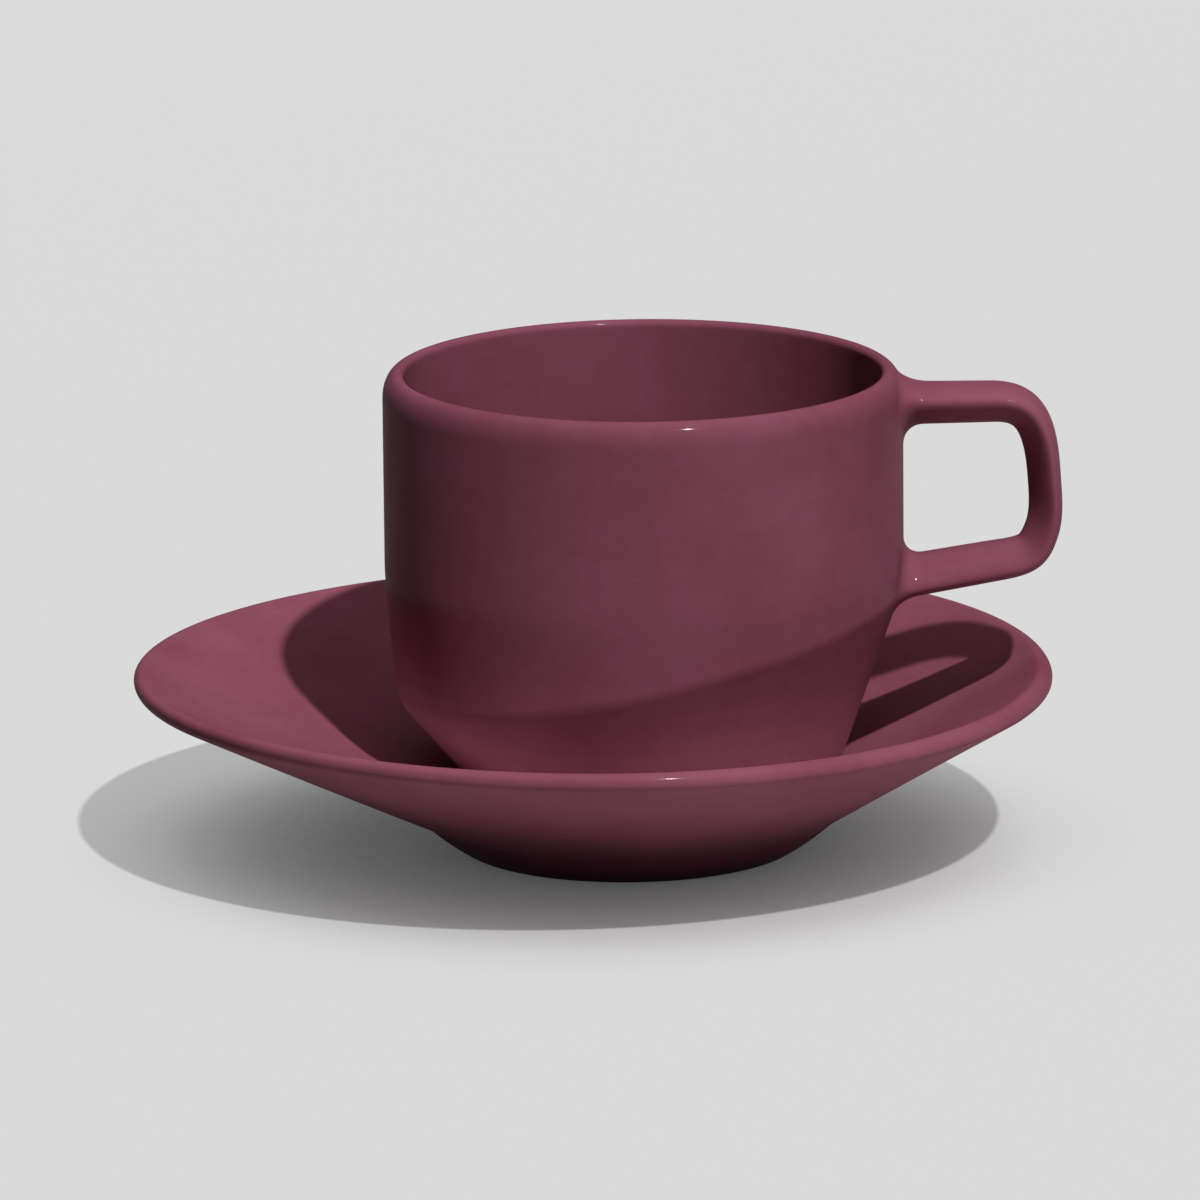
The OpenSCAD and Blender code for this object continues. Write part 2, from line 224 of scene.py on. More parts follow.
def wall_r(h):
    """Radius of the upright wall: full above the tuck height, then drawn in by a power."""
    t = np.maximum(TUCK_H - h, 0) / (TUCK_H - SHOULDER_H + SHOULDER_RISE)
    return CUP_D / 2 - TUCK * t**TUCK_POWER


def off_circle(r):
    """Distance from the cup's axis, in every direction, to a circle round the base's centre: the
    centre's offset times the cosine, plus the root of what is left of the radius squared when
    the square of the offset times the sine is taken off."""
    d = CUP_BASE_X - CUP_X
    return d * np.cos(angle) + np.sqrt(r * r - (d * np.sin(angle)) ** 2)


def shoulder(base_r, inset, steps):
    """Rounded shoulder as [step, direction, radius and height]. A circle touches the straight
    lower wall and the drawn-in upper one, whose slope is measured over a short rise. Its arc
    turns through the angle between the two."""
    short_rise = 0.8
    s_h = SHOULDER_H + SHOULDER_RISE * np.cos(angle)
    s_r = wall_r(s_h) - inset
    lean = np.arctan((s_r - off_circle(base_r)) / (s_h - CUP_FOOT_H))
    tuck = np.arctan((wall_r(s_h + short_rise) - wall_r(s_h)) / short_rise)
    reach = SHOULDER_R * np.tan((lean - tuck) / 2)
    w = -lean + (lean - tuck) * np.linspace(0, 1, steps + 1)[:, None]
    r = s_r + reach * np.sin(tuck) + SHOULDER_R * (np.cos(w) - np.cos(tuck))
    h = s_h + reach * np.cos(tuck) + SHOULDER_R * (np.sin(w) + np.sin(tuck))
    return np.stack([r, h], -1)


def every_way(rh):
    """The same rows of radius and height repeated in every direction."""
    return np.repeat(np.asarray(rh, float)[:, None], AROUND, 1)


def upper_wall(start, inset, steps):
    """Rows from the top of the shoulder, whose height varies, up past the tuck height."""
    t = np.linspace(0, 1, steps + 1)[1:, None]
    h = start[:, 1] + (TUCK_H + SHOULDER_R - start[:, 1]) * t
    return np.stack([wall_r(h) - inset, h], -1)


# %% Build the cup's body
def between(a, b, steps):
    """Rows strictly between two rows, close together at both ends and wide apart in the middle,
    because the share of the way is half of one less the cosine of an even turn."""
    t = (1 - np.cos(np.pi * np.arange(1, steps) / steps))[:, None, None] / 2
    return a + (b - a) * t


base_r = CUP_BASE_D / 2
base = np.stack([np.stack([off_circle(base_r - CUP_BASE_ROUND + CUP_BASE_ROUND * math.cos(w)),
                           np.full(AROUND, CUP_FOOT_H + CUP_BASE_ROUND * (1 + math.sin(w)))], -1)
                 for w in np.radians([-90, -75, -60, -45, -30])])
bend_out = shoulder(base_r, 0, 16)
wall_out = upper_wall(bend_out[-1], 0, 24)
rim_r = CUP_D / 2 - RIM_OUT_W
rim_out = every_way(arc((rim_r, CUP_H - RIM_OUT_H), (RIM_OUT_W, RIM_OUT_H), 0, 90, 20))
rim_in = every_way(arc((rim_r, CUP_H - RIM_IN_R), (RIM_IN_R, RIM_IN_R), 90, 180, 10)[1:])
outside_rows = np.concatenate([base, between(base[-1], bend_out[0], 16), bend_out, wall_out,
                               between(wall_out[-1], rim_out[0], 12), rim_out])
cavity_r = base_r - CUP_WALL
bend_in = shoulder(cavity_r, CUP_WALL, 16)
wall_in = upper_wall(bend_in[-1], CUP_WALL, 16)
knee = np.stack([off_circle(cavity_r + KNEE_OUT), np.full(AROUND, FLOOR_H)], -1)
floor_edge = np.stack([off_circle(cavity_r - FLOOR_IN), np.full(AROUND, FLOOR_H)], -1)
side = bend_in[0] + (knee - bend_in[0]) * KNEE_SHARE
t = np.linspace(0, 1, 17)[:, None, None]
floor_turn = (1 - t) ** 2 * side + 2 * t * (1 - t) * knee + t**2 * floor_edge
lines = np.concatenate([
    outside_rows, rim_in, between(rim_in[-1], wall_in[-1], 10), wall_in[::-1], bend_in[::-1],
    between(bend_in[0], floor_turn[0], 8), floor_turn])


def cup_rings(rows):
    """Places rows of radius and height over the foot round the cup's axis."""
    r, h = rows[..., 0], rows[..., 1]
    return np.stack([CUP_X + r * np.cos(angle), r * np.sin(angle), WELL_H + h], -1)


body = cup_rings(lines)
under_pole = np.array([CUP_BASE_X, 0, WELL_H + CUP_FOOT_H])
floor_pole = np.array([CUP_BASE_X, 0, WELL_H + FLOOR_H])
shrink = np.linspace(INNERMOST, 1, 10)[:-1, None, None]
underside = under_pole + (body[0] - under_pole) * shrink
cavity_floor = floor_pole + (body[-1] - floor_pole) * shrink[::-1]
cup = closed_skin("cup", np.concatenate([underside, body, cavity_floor]), [under_pole, floor_pole])

# %% Build the cup's foot ring
TOP_FLARE = 0.4
foot_r = CUP_FOOT_D / 2
outer_edge = np.concatenate([
    soft((foot_r - 1, 0), (foot_r, 0), (foot_r, 1), OUTER_EDGE, 6),
    soft((foot_r, 0), (foot_r, CUP_FOOT_H), (foot_r + 1, CUP_FOOT_H), TOP_FLARE, 6)])
cup_foot = foot_ring("cup_foot", outer_edge, foot_r - CUP_FOOT_W, CUP_FOOT_H, CUP_BASE_X, WELL_H)

# %% [markdown]
# ## The handle
# The handle is a strap bent into a squared loop and pressed onto the wet wall. Its middle line
# has two full corners and a shallow bend between them. The section is a superellipse, which is
# flatter than an ellipse and rounder than a rectangle, and it is wider on the loop's outer face
# than on the inner one, most of all on the side that the fingers hold. At both roots the potter
# smoothed the clay into the wall, so each line along the strap ends in a curve that lands flat
# on the wall.

# %% The handle's middle line
WALL_X = CUP_X + CUP_D / 2
REACH, BAR_T, SIDE_T = 26.4, 6.55, 5.5
TOP_ROOT_H, TOP_CORNER_H, PEAK_H, LOW_CORNER_H, LOW_ROOT_H = 66.2, 66.4, 47.7, 40.8, 37.0
TOP_IN_SHARE, LOW_IN_SHARE, ROOT_SUNK = 0.048, 0.084, 1.5
TOP_BAR, TOP_SIDE, LOW_SIDE, LOW_BAR = 7.8, 11.8, 4.7, 6.2
TOP_FULL, PEAK_FULL, LOW_FULL = 0.75, 0.67, 0.86
PEAK_UP, PEAK_DOWN = 0.6, 0.95
TOP_RUN, LOW_RUN = 40, 30
peak_x = WALL_X + REACH - SIDE_T / 2
top_root = np.array([WALL_X - ROOT_SUNK, TOP_ROOT_H])
top_corner = np.array([peak_x - TOP_IN_SHARE * REACH, TOP_CORNER_H])
peak = np.array([peak_x, PEAK_H])
low_corner_at = np.array([peak_x - LOW_IN_SHARE * REACH, LOW_CORNER_H])
low_root = np.array([WALL_X - ROOT_SUNK, LOW_ROOT_H])


def full_bend(corner, before, after, reach_before, reach_after, full, steps):
    """A cubic bend round a corner. Its two inner control points lie a full share of the way from
    the ends to the corner, so a larger share gives a squarer bend."""
    u, v = before - corner, after - corner
    p0 = corner + u / np.linalg.norm(u) * reach_before
    p3 = corner + v / np.linalg.norm(v) * reach_after
    p1, p2 = p0 + (corner - p0) * full, p3 + (corner - p3) * full
    t = np.linspace(0, 1, steps + 1)[:, None]
    return (1 - t) ** 3 * p0 + 3 * t * (1 - t) ** 2 * p1 + 3 * t**2 * (1 - t) * p2 + t**3 * p3


peak_up = (np.linalg.norm(peak - top_corner) - TOP_SIDE) * PEAK_UP
peak_down = (np.linalg.norm(peak - low_corner_at) - LOW_SIDE) * PEAK_DOWN
top_bend = full_bend(top_corner, top_root, peak, TOP_BAR, TOP_SIDE, TOP_FULL, 40)
side_bend = full_bend(peak, top_corner, low_corner_at, peak_up, peak_down, PEAK_FULL, 14)
low_bend = full_bend(low_corner_at, peak, low_root, LOW_SIDE, LOW_BAR, LOW_FULL, 34)
middle = np.concatenate([run(top_root, top_bend[0], TOP_RUN), top_bend,
                         run(top_bend[-1], side_bend[0], 5)[1:], side_bend,
                         run(side_bend[-1], low_bend[0], 3)[1:], low_bend,
                         run(low_root, low_bend[-1], LOW_RUN)[::-1]])
step = np.linalg.norm(np.diff(middle, axis=0), axis=1)
length = np.concatenate([[0], np.cumsum(step)])
print(f"handle: {length[-1]:.1f} mm along its middle line")

# %% The cup's outside as a surface to land on
NEAR = 24
TABLE_LOW, TABLE_HIGH = 20, CUP_H - 0.2
near = np.r_[AROUND - NEAR:AROUND, 0:NEAR + 1]
near_angle = np.radians(np.arange(-NEAR, NEAR + 1) * 360 / AROUND)
level = np.linspace(TABLE_LOW, TABLE_HIGH, 1500)
row_r, row_h = outside_rows[..., 0], outside_rows[..., 1]
wall_table = np.stack([np.interp(level, row_h[:, k], row_r[:, k]) for k in near], 1)
print("table of the wall by the handle:", wall_table.shape, "entries")


def cup_side(phi, h):
    """Point on the cup's outside in the direction phi at the height h over the foot: its radius
    comes from the cup's own outline, read between the four nearest entries of a table. Both
    indexes stop a little before the last entry, so that there is always a next one."""
    before_last = 1.001
    i = np.clip((h - level[0]) / (level[1] - level[0]), 0, len(level) - before_last)
    j = np.clip((phi - near_angle[0]) / (near_angle[1] - near_angle[0]), 0, len(near) - before_last)
    i0, j0 = i.astype(int), j.astype(int)
    fi, fj = i - i0, j - j0
    r = ((1 - fi) * (1 - fj) * wall_table[i0, j0] + fi * (1 - fj) * wall_table[i0 + 1, j0]
         + (1 - fi) * fj * wall_table[i0, j0 + 1] + fi * fj * wall_table[i0 + 1, j0 + 1])
    return np.stack([CUP_X + r * np.cos(phi), r * np.sin(phi), h], -1)


# %% The strap's section
STRAP_N, STRAP_POWER = 96, 2.3
BAR_W, SIDE_W = 11.8, 10.3
TOP_TAPER, SIDE_TAPER = 0.40, 0.72


def strap_section(turn):
    """Unit section at each turn: across is the signed sine to the power 2 / STRAP_POWER, and
    along_y the signed cosine to that power."""
    across = np.sign(np.sin(turn)) * np.abs(np.sin(turn)) ** (2 / STRAP_POWER)
    along_y = np.sign(np.cos(turn)) * np.abs(np.cos(turn)) ** (2 / STRAP_POWER)
    return across, along_y


section = np.linspace(0, 2 * np.pi, STRAP_N, endpoint=False)
across, along_y = strap_section(section)
tiny = 0.01
step_across, step_y = np.subtract(strap_section(section + tiny), strap_section(section - tiny))
facing = np.stack([-step_y * BAR_W, step_across * BAR_T], -1)
facing /= np.linalg.norm(facing, axis=1)[:, None]
print("points round the strap:", STRAP_N)


def strap_points(mid, outward, run_mm):
    """Section points for middle points of any shape: half the thickness along the loop's outward
    direction, half the width along y. A fourth power of sine takes the strap from the bars' size
    to the side's and back. The outer face is wider than the inner one by the taper, which is
    strongest on the side and fades out towards the lower root."""
    share = run_mm / length[-1]
    side = np.sin(np.pi * share) ** 4
    thick = BAR_T + (SIDE_T - BAR_T) * side
    wide = BAR_W + (SIDE_W - BAR_W) * side
    taper = TOP_TAPER * (1 - share) * (1 - side) + SIDE_TAPER * side
    x = mid[..., 0] + outward[..., 0] * across * thick / 2
    z = mid[..., 1] + outward[..., 1] * across * thick / 2
    y = along_y * (1 + taper * across) * wide / 2
    return np.stack([x, np.broadcast_to(y, x.shape), z], -1)


# %% The roots that land on the wall
SEARCH_FROM, SEARCH_TO, HALVINGS = -2.0, 9.0, 40
CURVE_PULL, SHORT_OF, PAST = 0.6, 0.97, 1.02
SUNK_SHARE, DEEP_SHARE = 0.985, 0.97


def root(end_p, next_p, outward, reach_out, wall_out, reach_in):
    """One root of the strap as rows from deep in the wall out to the free strap. A halving search
    finds where each line of the strap meets the wall. A cubic curve then leaves the strap before
    that point and lands on the wall beyond it, along the wall's own tangent. In the middle of the
    outer face it leaves the strap reach_out away and lands wall_out away. On the inner face both
    are reach_in. Two rows sunk in the wall close the root."""
    ahead = (next_p - end_p) / np.linalg.norm(next_p - end_p)

    def on_strap(s):
        """Section points at the distances s along the straight bar, one for each of its lines."""
        return strap_points(end_p + ahead * s[..., None], np.broadcast_to(outward, s.shape + (2,)), s)

    low, high = np.full(STRAP_N, SEARCH_FROM), np.full(STRAP_N, SEARCH_TO)
    for _ in range(HALVINGS):
        s = (low + high) / 2
        p = on_strap(s)
        phi = np.arctan2(p[:, 1], p[:, 0] - CUP_X)
        wall = cup_side(phi, p[:, 2])
        inside_it = np.hypot(p[:, 0] - CUP_X, p[:, 1]) < np.hypot(wall[:, 0] - CUP_X, wall[:, 1])
        low, high = np.where(inside_it, s, low), np.where(inside_it, high, s)
    hit, hit_phi = on_strap(s), phi
    outer_share = np.maximum(facing[:, 0], 0) ** 2
    reach = reach_in + (reach_out - reach_in) * outer_share
    reach_wall = reach_in + (wall_out - reach_in) * outer_share
    d_phi = facing[:, 1] * reach_wall / (CUP_D / 2)
    d_h = facing[:, 0] * outward[1] * reach_wall
    landing = cup_side(hit_phi + d_phi, hit[:, 2] + d_h)
    nearly = cup_side(hit_phi + SHORT_OF * d_phi, hit[:, 2] + SHORT_OF * d_h)
    beyond = cup_side(hit_phi + PAST * d_phi, hit[:, 2] + PAST * d_h)
    tangent = (nearly - landing) / np.linalg.norm(nearly - landing, axis=1)[:, None]
    leave = on_strap(s + reach)
    p1 = leave + (hit - leave) * CURVE_PULL
    p2 = landing + tangent * CURVE_PULL * reach_wall[:, None]
    t = np.linspace(0, 1, 15)[:, None, None]
    fillet = ((1 - t) ** 3 * landing + 3 * t * (1 - t) ** 2 * p2
              + 3 * t**2 * (1 - t) * p1 + t**3 * leave)
    axis = np.array([CUP_X, 0, 0])
    sunk = axis + (beyond - axis) * [SUNK_SHARE, SUNK_SHARE, 1]
    deep = axis + (hit - axis) * [DEEP_SHARE, DEEP_SHARE, 1]
    return np.concatenate([[deep], [sunk], [beyond], fillet])


# %% Build the handle
unit_top = (top_corner - top_root) / np.linalg.norm(top_corner - top_root)
unit_low = (low_root - low_corner_at) / np.linalg.norm(low_root - low_corner_at)
out_top = np.array([-unit_top[1], unit_top[0]])
out_low = np.array([-unit_low[1], unit_low[0]])
root_top = root(top_root, top_corner, out_top, reach_out=5.0, wall_out=2.1, reach_in=3.4)
root_low = root(low_root, low_corner_at, out_low, reach_out=3.2, wall_out=2.6, reach_in=3.4)
loop_rows = slice(TOP_RUN, -LOW_RUN)
tangent = np.gradient(middle, length, axis=0)[loop_rows]
tangent /= np.linalg.norm(tangent, axis=1)[:, None]
normal = np.stack([-tangent[:, 1], tangent[:, 0]], -1)[:, None]
loop = strap_points(middle[loop_rows][:, None], normal, length[loop_rows][:, None])


def straight(root_row, loop_row, steps):
    """Rows between the end of a root's curve and the first ring of the bend, both left out."""
    t = (np.arange(1, steps) / steps)[:, None, None]
    return root_row + (loop_row - root_row) * t


rows = np.concatenate([root_top, straight(root_top[-1], loop[0], 14), loop,
                       straight(loop[-1], root_low[-1], 16), root_low[::-1]])
rows[..., 2] += WELL_H
handle = closed_skin("handle", rows, [rows[0].mean(0), rows[-1].mean(0)])

# %% [markdown]
# ## Who moves with whom
# The cup lifts straight up out of the saucer, so its pot, foot and handle ride on the body "cup".
# Each fine surface stands for the CAD node that it was worked out from.

# %% Hang every piece on its body
stands_for = {"saucer_dish": (saucer, "saucer"), "saucer_foot_ring": (saucer_foot, "saucer"),
              "cup_body": (cup, "cup"), "cup_foot_ring": (cup_foot, "cup"), "cup_handle": (handle, "cup")}
for node, (piece, body_name) in stands_for.items():
    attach(piece, body_name)
    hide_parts(node)
    node_low, node_high = np.array(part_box(node))
    points = np.array([vertex.co for vertex in piece.data.vertices])
    proud = max((node_low - points.min(0)).max(), (points.max(0) - node_high).max())
    print(f"{piece.name} stands {1000 * proud:.2f} mm out of its node's box")

# %% [markdown]
# ## The glaze, as a group of nodes
# The whole set wears one plum glaze. It pooled and thinned a little while it melted, so its
# colour drifts between a deep wine and a paler rose over a couple of centimetres. Finer
# clouding, rare pinholes where gas broke through, and a faint orange peel come on top, and fine
# rings round the pot's axis, left by the potter's tool, show through it. The saucer, the cup and
# the handle all need the same effect, so it is a node group that puts out a colour, a roughness
# and a height, and the shader stays in each material.


# %% Helpers to make and join nodes
def put(nodes, kind, **settings):
    """Makes a node. A setting whose name is an attribute of the node is set on it, and any other
    one is the value of the input socket of that name, with spaces for underscores."""
    node = nodes.new(kind)
    for name, value in settings.items():
        if hasattr(node, name):
            setattr(node, name, value)
        else:
            node.inputs[name.replace("_", " ")].default_value = value
    return node


def figure(nodes, links, operation, *terms):
    """One Math node. Each term is a number or an output socket. Gives back its output."""
    node = nodes.new("ShaderNodeMath")
    node.operation = operation
    for socket, term in zip(node.inputs, terms):
        if isinstance(term, bpy.types.NodeSocket):
            links.new(term, socket)
        else:
            socket.default_value = term
    return node.outputs[0]


def blend(nodes, links, share, below, above):
    """One Mix node for colours: the share, a number or a socket, moves from below to above. A Mix
    node set to colour takes them at its inputs 6 and 7 and gives the colour at output 2."""
    node = put(nodes, "ShaderNodeMix", data_type="RGBA")
    for socket, term in zip((node.inputs[0], node.inputs[6], node.inputs[7]), (share, below, above)):
        if isinstance(term, bpy.types.NodeSocket):
            links.new(term, socket)
        else:
            socket.default_value = term
    return node.outputs[2]


def new_group(name, takes, gives):
    """An empty shader node group. Each socket is a name and a kind, such as Color or Float."""
    group = bpy.data.node_groups.new(name, "ShaderNodeTree")
    for direction, sockets in (("INPUT", takes), ("OUTPUT", gives)):
        for socket_name, kind in sockets:
            group.interface.new_socket(socket_name, in_out=direction, socket_type="NodeSocket" + kind)
    return group, group.nodes.new("NodeGroupInput").outputs, group.nodes.new("NodeGroupOutput").inputs


# %% Group for the fired glaze
ROUND_SQUEEZE, RADIUS_SHARE, NOISE_MIDDLE = 0.025, 0.7, 0.5
PIT_COLOUR, PIT_SHARE, PIT_ROUGHER = (0.03, 0.006, 0.01, 1), 0.75, 0.2
GLAZE_ROUGH, CLOUD_ROUGHER = 0.52, 0.12
PEEL_LIFT, DRIFT_LIFT, RING_LIFT = 0.10, 0.5, 0.2


def fired_glaze():
    """Colour: deep to pale by slow noise, by fine clouds and by the rings, and then darkened in
    pinholes. A pinhole is the middle of a Voronoi cell whose own random number is below a share.
    The rings run round the upright axis through Centre and are as strong as Turned says. They are
    a noise over the height plus a share of the radius. In x and y it is squeezed, so that it
    hardly changes on the way round."""
    group, given, wanted = new_group(
        "Fired glaze", [("Deep", "Color"), ("Pale", "Color"), ("Pinholes", "Float"),
                        ("Centre", "Vector"), ("Turned", "Float")],
        [("Color", "Color"), ("Roughness", "Float"), ("Height", "Float")])
    n, l = group.nodes, group.links
    place = n.new("ShaderNodeTexCoord").outputs["Object"]
    drift = put(n, "ShaderNodeTexNoise", Scale=38.0, Detail=3.0, Roughness=0.5)
    cloud = put(n, "ShaderNodeTexNoise", Scale=420.0, Detail=4.0, Roughness=0.6)
    peel = put(n, "ShaderNodeTexNoise", Scale=900.0, Detail=2.0, Roughness=0.5)
    cells = put(n, "ShaderNodeTexVoronoi", Scale=95.0, Randomness=1.0)
    for texture in (drift, cloud, peel, cells):
        l.new(place, texture.inputs["Vector"])
    split = n.new("ShaderNodeSeparateColor")
    l.new(cells.outputs["Color"], split.inputs[0])
    chosen = figure(n, l, "LESS_THAN", split.outputs[0], given["Pinholes"])
    size = put(n, "ShaderNodeMapRange", From_Min=0.0, From_Max=1.0, To_Min=0.012, To_Max=0.036)
    l.new(split.outputs[1], size.inputs["Value"])
    inside = figure(n, l, "DIVIDE", cells.outputs["Distance"], size.outputs[0])
    depth = figure(n, l, "SUBTRACT", 1.0, figure(n, l, "MINIMUM", inside, 1.0))
    pit = figure(n, l, "MULTIPLY", chosen, depth)
    from_axis = put(n, "ShaderNodeVectorMath", operation="SUBTRACT")
    l.new(place, from_axis.inputs[0])
    l.new(given["Centre"], from_axis.inputs[1])
    flat = put(n, "ShaderNodeVectorMath", operation="MULTIPLY")
    flat.inputs[1].default_value = (1, 1, 0)
    l.new(from_axis.outputs[0], flat.inputs[0])
    radius = put(n, "ShaderNodeVectorMath", operation="LENGTH")
    l.new(flat.outputs[0], radius.inputs[0])
    axes = n.new("ShaderNodeSeparateXYZ")
    l.new(from_axis.outputs[0], axes.inputs[0])
    ring = n.new("ShaderNodeCombineXYZ")
    l.new(figure(n, l, "MULTIPLY", axes.outputs[0], ROUND_SQUEEZE), ring.inputs[0])
    l.new(figure(n, l, "MULTIPLY", axes.outputs[1], ROUND_SQUEEZE), ring.inputs[1])
    outwards = figure(n, l, "MULTIPLY", radius.outputs["Value"], RADIUS_SHARE)
    l.new(figure(n, l, "ADD", axes.outputs[2], outwards), ring.inputs[2])
    streak = put(n, "ShaderNodeTexNoise", Scale=620.0, Detail=3.0, Roughness=0.6)
    l.new(ring.outputs[0], streak.inputs["Vector"])
    turned = figure(n, l, "SUBTRACT", streak.outputs["Fac"], NOISE_MIDDLE)
    turned = figure(n, l, "MULTIPLY", turned, given["Turned"])
    slow = put(n, "ShaderNodeMapRange", From_Min=0.32, From_Max=0.68)
    l.new(drift.outputs["Fac"], slow.inputs["Value"])
    fine = put(n, "ShaderNodeMapRange", From_Min=0.3, From_Max=0.7, To_Min=-0.18, To_Max=0.18)
    l.new(cloud.outputs["Fac"], fine.inputs["Value"])
    share = figure(n, l, "ADD", slow.outputs[0], fine.outputs[0])
    share = figure(n, l, "ADD", share, turned)
    colour = blend(n, l, share, given["Deep"], given["Pale"])
    l.new(blend(n, l, figure(n, l, "MULTIPLY", pit, PIT_SHARE), colour, PIT_COLOUR), wanted["Color"])
    rough = figure(n, l, "MULTIPLY_ADD", cloud.outputs["Fac"], CLOUD_ROUGHER, GLAZE_ROUGH)
    pit_rough = figure(n, l, "MULTIPLY", pit, PIT_ROUGHER)
    l.new(figure(n, l, "ADD", rough, pit_rough), wanted["Roughness"])
    height = figure(n, l, "MULTIPLY", peel.outputs["Fac"], PEEL_LIFT)
    height = figure(n, l, "MULTIPLY_ADD", drift.outputs["Fac"], DRIFT_LIFT, height)
    height = figure(n, l, "MULTIPLY_ADD", turned, RING_LIFT, height)
    l.new(figure(n, l, "SUBTRACT", height, pit), wanted["Height"])
    return group


glaze_group = fired_glaze()
print("glaze group:", len(glaze_group.nodes), "nodes")

# %% [markdown]
# ## Where the glaze stops
# A glazed foot would fuse to the kiln's shelf, so the potter sponges the standing face clean.
# Bare clay shows there, pale and dry, with a darker line of iron where the glaze ends. The group
# takes a glaze and the height of that line and puts the clay below it, wandering by a noise.


# %% Group for the bare standing face
LINE_WANDER, GLAZE_FROM, GLAZE_TO, IRON_FROM = 0.0006, 0.00025, 0.00035, -0.0004
CLAY_DARK, CLAY_PALE = (0.30, 0.21, 0.17, 1), (0.48, 0.38, 0.32, 1)
IRON_COLOUR = (0.20, 0.10, 0.07, 1)
CLAY_ROUGH, CLAY_GRAIN, CLAY_SUNK = 0.85, 0.4, -0.6


def bare_face():
    """Glazed is none below the line and one above it, and changes over a tenth of a millimetre.
    The noise that is added to the height makes the line wander a little round the given one."""
    group, given, wanted = new_group(
        "Bare standing face",
        [("Color", "Color"), ("Roughness", "Float"), ("Height", "Float"), ("Line", "Float")],
        [("Color", "Color"), ("Roughness", "Float"), ("Height", "Float"), ("Glazed", "Float")])
    n, l = group.nodes, group.links
    place = n.new("ShaderNodeTexCoord").outputs["Object"]
    wander = put(n, "ShaderNodeTexNoise", Scale=160.0, Detail=3.0)
    grain = put(n, "ShaderNodeTexNoise", Scale=2600.0, Detail=3.0, Roughness=0.7)
    for texture in (wander, grain):
        l.new(place, texture.inputs["Vector"])
    axes = n.new("ShaderNodeSeparateXYZ")
    l.new(place, axes.inputs[0])
    above = figure(n, l, "SUBTRACT", axes.outputs[2], given["Line"])
    above = figure(n, l, "MULTIPLY_ADD", wander.outputs["Fac"], LINE_WANDER, above)
    glazed = put(n, "ShaderNodeMapRange", From_Min=GLAZE_FROM, From_Max=GLAZE_TO)
    l.new(above, glazed.inputs["Value"])
    iron = put(n, "ShaderNodeMapRange", From_Min=IRON_FROM, From_Max=GLAZE_FROM)
    l.new(above, iron.inputs["Value"])
    clay = blend(n, l, grain.outputs["Fac"], CLAY_DARK, CLAY_PALE)
    edge = blend(n, l, iron.outputs[0], clay, IRON_COLOUR)
    l.new(blend(n, l, glazed.outputs[0], edge, given["Color"]), wanted["Color"])
    rough_drop = figure(n, l, "SUBTRACT", given["Roughness"], CLAY_ROUGH)
    rough = figure(n, l, "MULTIPLY_ADD", glazed.outputs[0], rough_drop, CLAY_ROUGH)
    l.new(rough, wanted["Roughness"])
    lift = figure(n, l, "MULTIPLY_ADD", grain.outputs["Fac"], CLAY_GRAIN, CLAY_SUNK)
    height_drop = figure(n, l, "SUBTRACT", given["Height"], lift)
    l.new(figure(n, l, "MULTIPLY_ADD", glazed.outputs[0], height_drop, lift), wanted["Height"])
    l.new(glazed.outputs[0], wanted["Glazed"])
    return group


bare_group = bare_face()
print("bare face group:", len(bare_group.nodes), "nodes")

# %% [markdown]
# ## The finishes
# A glaze is glass over clay. The clay and colour below scatter light widely, which the Principled
# shader's base gives, with hardly any gloss. The glass on top, a small share of the shader's coat,
# gives small crisp glints. The saucer and the handle have one pair of tones, and the cup's are a
# little deeper, as painted shade over the cup. In the photo the light between the cup and the
# saucer is pale, as if bare clay threw it back. So the saucer's upper face grows pale for diffuse
# rays that come from less than three centimetres away, and fully so within one. Every number that
# is the same all over is set on the shader's own socket.

# %% Make the materials
SAUCER_GLAZE = (0.208, 0.056, 0.089, 1), (0.250, 0.076, 0.117, 1)
# The cup's tones are the saucer's made a little deeper: painted shade over the cup.
CUP_SHADED_GLAZE = (0.191, 0.052, 0.083, 1), (0.230, 0.070, 0.110, 1)
BASE_IOR, BASE_GLOSS = 1.3, 0.05
COAT_SHARE, COAT_ROUGH, COAT_IOR = 0.02, 0.09, 2.0
BUMP_STRENGTH, BUMP_HEIGHT = 0.35, 0.00012
BOUNCED = (0.97, 0.80, 0.86, 1)
CLOSE_FROM, CLOSE_TO, UPWARD_FROM = 0.010, 0.030, 0.3


